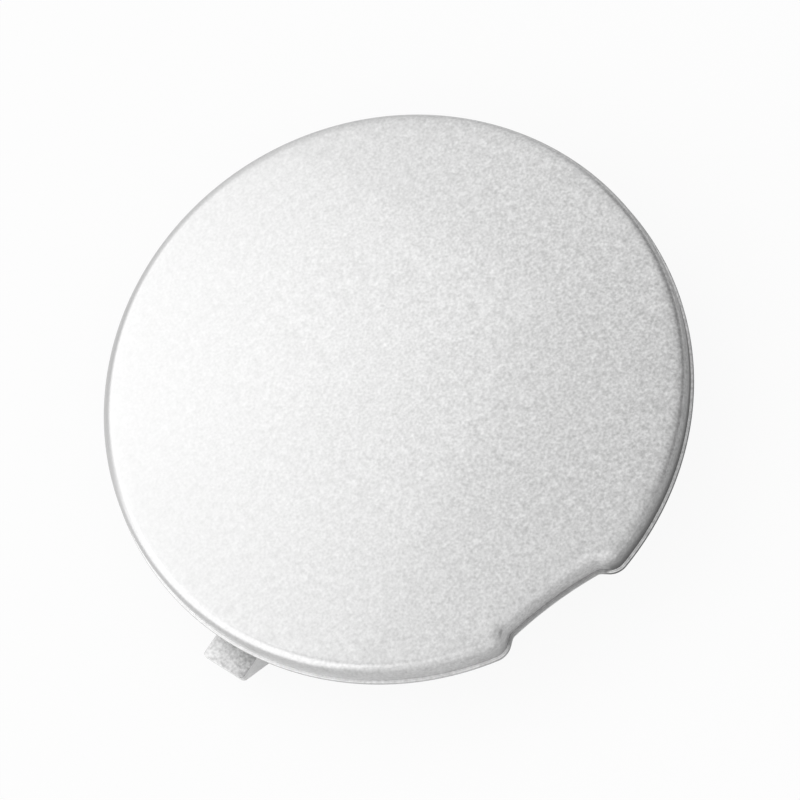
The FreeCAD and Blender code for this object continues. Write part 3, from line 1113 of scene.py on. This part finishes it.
@dataclass
class EdgeHook:
    """The rigid hook beside the rim: a leg, a thin plate and two cheeks that ramp down."""

    finish: SilverPaint
    width: float = 5.0
    overhang: float = 2.1
    leg_thick: float = 2.0
    plate_thick: float = 0.8
    tip_round: float = 0.35
    tip_steps: int = 5
    cheek: float = 1.1
    core_past: float = 1.0
    web_thick: float = 1.2
    web_depth: float = 4.98
    edge: float = 0.1

    def _cheek_profile(self, back: float, wall: float, reach: float) -> list[Pair]:
        """Side view of a cheek with the leg and the plate.

        Args:
            back: radius of the leg's inner side.
            wall: radius of the leg's outer side.
            reach: radius of the tip.

        Returns:
            Its corners, as (radius, height).
        """
        return [
            (back, -SIZES.leg_depth),
            (wall, -SIZES.leg_depth),
            (reach, -SIZES.catch_depth - self.plate_thick),
            (reach, -SIZES.catch_depth),
            (wall, -SIZES.catch_depth),
            (wall, SIZES.root_level),
            (back, SIZES.root_level),
        ]

    def _round_tip(self, bm: BMesh, reach: float) -> None:
        """Rounds the two upright edges of the tip.

        Args:
            bm: the hook's body.
            reach: how far out the tip lies.
        """
        near = 0.01
        upright = [
            edge
            for edge in bm.edges
            if all(abs(vert.co.x - reach) < near for vert in edge.verts)
            and abs(edge.verts[0].co.y - edge.verts[1].co.y) < near
        ]
        rounded(bm, upright, self.tip_round, self.tip_steps)

    def build(self) -> Object:
        """Draws the hook's body, cores it from below and ties its leg to the collar.

        Returns:
            The hook.
        """
        wall = SIZES.face_radius - SIZES.rim_wall
        back = wall - self.leg_thick
        reach = SIZES.face_radius + SIZES.lip_step + self.overhang
        whole = drawn(self._cheek_profile(back, wall, reach), self.width)
        self._round_tip(whole, reach)
        soften(whole, self.edge)
        below, roof = -SIZES.leg_depth - self.core_past, -SIZES.catch_depth - self.plate_thick
        end = reach - self.cheek
        hollow = [(wall, below), (end, below), (end, roof), (wall, roof)]
        body = worked(whole, drawn(hollow, self.width - 2 * self.cheek))
        inner, outer = SIZES.collar_middle, wall - self.leg_thick / 2
        top = SIZES.root_level
        rib = [(inner, -self.web_depth), (outer, -self.web_depth), (outer, top), (inner, top)]
        tie = drawn(rib, self.web_thick)
        soften(tie, self.edge)
        hook = turned(joined([body, tie]), SIZES.hook_azimuth)
        paint = self.finish.material("silver_paint_hook", Cover.HOOK)
        return finished_piece("edge_hook", hook, paint)


@dataclass
class BackRibs:
    """The two crossing ribs and the hub ring where they meet."""

    finish: SilverPaint
    thick: float = 1.2
    drop: float = 1.5
    hub_radius: float = 7.0
    hub_steps: int = 72
    below_root: float = 0.3
    turns: Sequence[float] = (-135.0, -45.0)
    edge: float = 0.1

    def build(self) -> Object:
        """Draws both ribs, spins the hub ring and welds the three where they cross.

        Returns:
            The ribs and the ring.
        """
        end = SIZES.collar_middle
        top = SIZES.root_level - self.below_root
        side = [(-end, -self.drop), (end, -self.drop), (end, top), (-end, top)]
        outer, inner = self.hub_radius, self.hub_radius - self.thick
        ring = [(inner, -self.drop), (outer, -self.drop), (outer, top), (inner, top)]
        whole = spun(ring, 0.0, 360.0, self.hub_steps)
        soften(whole, self.edge)
        for turn in self.turns:
            rib = drawn(side, self.thick)
            soften(rib, self.edge)
            whole = worked(whole, turned(rib, SIZES.hook_azimuth + turn), Craft.WELD)
        plastic = self.finish.material("bare_plastic_ribs", Cover.BACK)
        return finished_piece("back_ribs", whole, plastic)


# ---- The studio


@dataclass(frozen=True)
class View:
    """Where the photograph was taken from, relative to the middle of the face's rim.

    Angles are in degrees. The distance and the aim are in units of the face's radius, the unit
    itself, the level and the sensor in millimetres, and the clip range in metres.
    """

    unit: float = 29.7
    distance: float = 10.0
    pixels_per_unit: float = 299.05
    lean: float = 23.28
    lean_azimuth: float = -96.22
    roll: float = 59.51
    aim_x: float = -0.0361
    aim_y: float = -0.0548
    level: float = 3.0
    image_size: float = 800.0
    sensor: float = 36.0
    clip: Pair = (0.01, 20.0)

    def camera(self) -> Object:
        """Adds the camera and makes it the scene's.

        Returns:
            The camera.
        """
        lean, way, roll = (math.radians(v) for v in (self.lean, self.lean_azimuth, self.roll))
        towards = Vector((math.cos(way), math.sin(way), 0.0))
        sideways = Vector((math.sin(way), -math.cos(way), 0.0))
        up = Vector((0, 0, 1))
        back = towards * math.sin(lean) + up * math.cos(lean)
        tilted = towards * math.cos(lean) - up * math.sin(lean)
        right = tilted * math.cos(roll) - sideways * math.sin(roll)
        down = tilted * math.sin(roll) + sideways * math.cos(roll)
        aim = back * self.distance - right * self.aim_x - down * self.aim_y
        place = (aim * self.unit + up * self.level) * MM
        data = bpy.data.cameras.new("camera")
        data.sensor_width = self.sensor
        data.lens = self.sensor * self.pixels_per_unit * self.distance / self.image_size
        data.clip_start, data.clip_end = self.clip
        made = bpy.data.objects.new("camera", data)
        axes = Matrix((right, -down, back)).transposed()
        made.matrix_world = Matrix.Translation(place) @ axes.to_4x4()
        bpy.context.scene.collection.objects.link(made)
        bpy.context.scene.camera = made
        return made


@dataclass(frozen=True)
class SoftBox:
    """One square area lamp that looks at the cover, in degrees, metres and watts."""

    name: str
    azimuth: float
    elevation: float
    distance: float
    size: float
    power: float

    def build(self) -> Object:
        """Adds the lamp.

        Returns:
            The lamp.
        """
        turn, rise = math.radians(self.azimuth), math.radians(self.elevation)
        flat = math.cos(rise)
        way = Vector((math.cos(turn) * flat, math.sin(turn) * flat, math.sin(rise)))
        data = bpy.data.lights.new(self.name, "AREA")
        data.shape = "SQUARE"
        data.size = self.size
        data.energy = self.power
        lamp = bpy.data.objects.new(self.name, data)
        lamp.location = way * self.distance
        lamp.rotation_euler = way.to_track_quat("Z", "Y").to_euler()
        bpy.context.scene.collection.objects.link(lamp)
        return lamp


@dataclass(frozen=True)
class GreyCard:
    """A dark card that stands on the floor beside the cover and shades one side of its rim.

    It isn't in the picture. Its azimuth is in degrees and its sizes are in metres.
    """

    azimuth: float
    distance: float
    width: float
    height: float
    tone: float

    def build(self) -> Object:
        """Adds the card.

        Returns:
            The card.
        """
        bm = bmesh.new()
        bmesh.ops.create_grid(bm, x_segments=1, y_segments=1, size=0.5)
        bmesh.ops.scale(bm, vec=(self.height, self.width, 1.0), verts=bm.verts)
        bmesh.ops.rotate(bm, verts=bm.verts, matrix=Matrix.Rotation(math.radians(90), 3, "Y"))
        bmesh.ops.translate(bm, verts=bm.verts, vec=(self.distance, 0, self.height / 2))
        card = placed("grey_card", turned(bm, self.azimuth))
        made = bpy.data.materials.new("grey_card")
        made.use_nodes = True
        web = Web(made.node_tree)
        matt = web.node("ShaderNodeBsdfDiffuse", {}, {"Color": grey(self.tone)})
        web.node("ShaderNodeOutputMaterial", {}, {"Surface": matt})
        card.data.materials.append(made)
        card.visible_camera = False
        return card


@dataclass
class Studio:
    """Pale floor, white surroundings, soft lamps and the card, in metres but for floor_level."""

    floor_level: float = -SIZES.leg_depth
    floor_size: float = 6.0
    floor_tone: float = 0.9
    floor_glow: float = 0.92
    floor_in_gloss: float = 0.28
    sky_light: float = 0.4
    sky_shown: float = 0.78
    lamps: Sequence[SoftBox] = (
        SoftBox("key_lamp", 119.0, 54.0, 1.1, 0.85, 2.5),
        SoftBox("side_lamp", 176.0, 22.0, 1.1, 1.4, 7.5),
        SoftBox("back_lamp", 74.0, 32.0, 1.1, 1.5, 2.2),
        SoftBox("top_lamp", -120.0, 72.0, 1.1, 0.9, 0.7),
        SoftBox("front_lamp", -108.0, 30.0, 1.1, 1.6, 2.4),
    )
    card: GreyCard = GreyCard(-10.0, 0.4, 0.67, 0.2, 0.26)

    def _seen(self, web: Web, in_gloss: float = 1.0) -> Socket:
        """How much a ray shows of the background's own white.

        Args:
            web: the nodes of the floor or the world.
            in_gloss: the share that a reflection shows.

        Returns:
            1 on the rays from the camera and through glass, and in_gloss on those in gloss.
        """
        names = ("Is Camera Ray", "Is Glossy Ray", "Is Transmission Ray")
        camera, glossy, through = (web.node("ShaderNodeLightPath", output=name) for name in names)
        return camera.larger(glossy * in_gloss).larger(through)

    def _floor(self) -> None:
        """A white floor that keeps the cover's shadow."""
        bm = bmesh.new()
        bmesh.ops.create_grid(bm, x_segments=1, y_segments=1, size=self.floor_size / 2)
        bmesh.ops.translate(bm, verts=bm.verts, vec=(0, 0, self.floor_level * MM))
        floor = placed("floor", bm)
        made = bpy.data.materials.new("white_floor")
        made.use_nodes = True
        web = Web(made.node_tree)
        matt = web.node("ShaderNodeBsdfDiffuse", {}, {"Color": grey(self.floor_tone)})
        glow = web.node("ShaderNodeEmission", {}, {"Color": grey(1.0), "Strength": 1.0})
        seen = self._seen(web, self.floor_in_gloss) * self.floor_glow
        shown = web.node("ShaderNodeMixShader", {}, {0: seen, 1: matt, 2: glow})
        web.node("ShaderNodeOutputMaterial", {}, {"Surface": shown})
        floor.data.materials.append(made)

    def _world(self) -> None:
        """White to the eye and in reflections, softer as a light."""
        world = bpy.data.worlds.new("studio")
        bpy.context.scene.world = world
        world.use_nodes = True
        web = Web(world.node_tree)
        light, white = (
            web.node("ShaderNodeBackground", {}, {"Color": grey(1.0), "Strength": strength})
            for strength in (self.sky_light, self.sky_shown)
        )
        shown = web.node("ShaderNodeMixShader", {}, {0: self._seen(web), 1: light, 2: white})
        web.node("ShaderNodeOutputWorld", {}, {"Surface": shown})

    def build(self) -> None:
        """Adds the floor, the world, the lamps and the card."""
        self._floor()
        self._world()
        for lamp in self.lamps:
            lamp.build()
        self.card.build()
        bpy.context.scene.view_settings.view_transform = "Standard"


def main() -> None:
    """Builds the cover part by part, then the studio and the camera."""
    View().camera()
    finish = SilverPaint()
    for part in (
        FaceShell(finish),
        BackCollar(finish),
        SnapArms(finish),
        EdgeHook(finish),
        BackRibs(finish),
    ):
        piece = part.build()
        log.info("%s: %d faces", piece.name, len(piece.data.polygons))
    Studio().build()


if __name__ == "__main__":
    main()
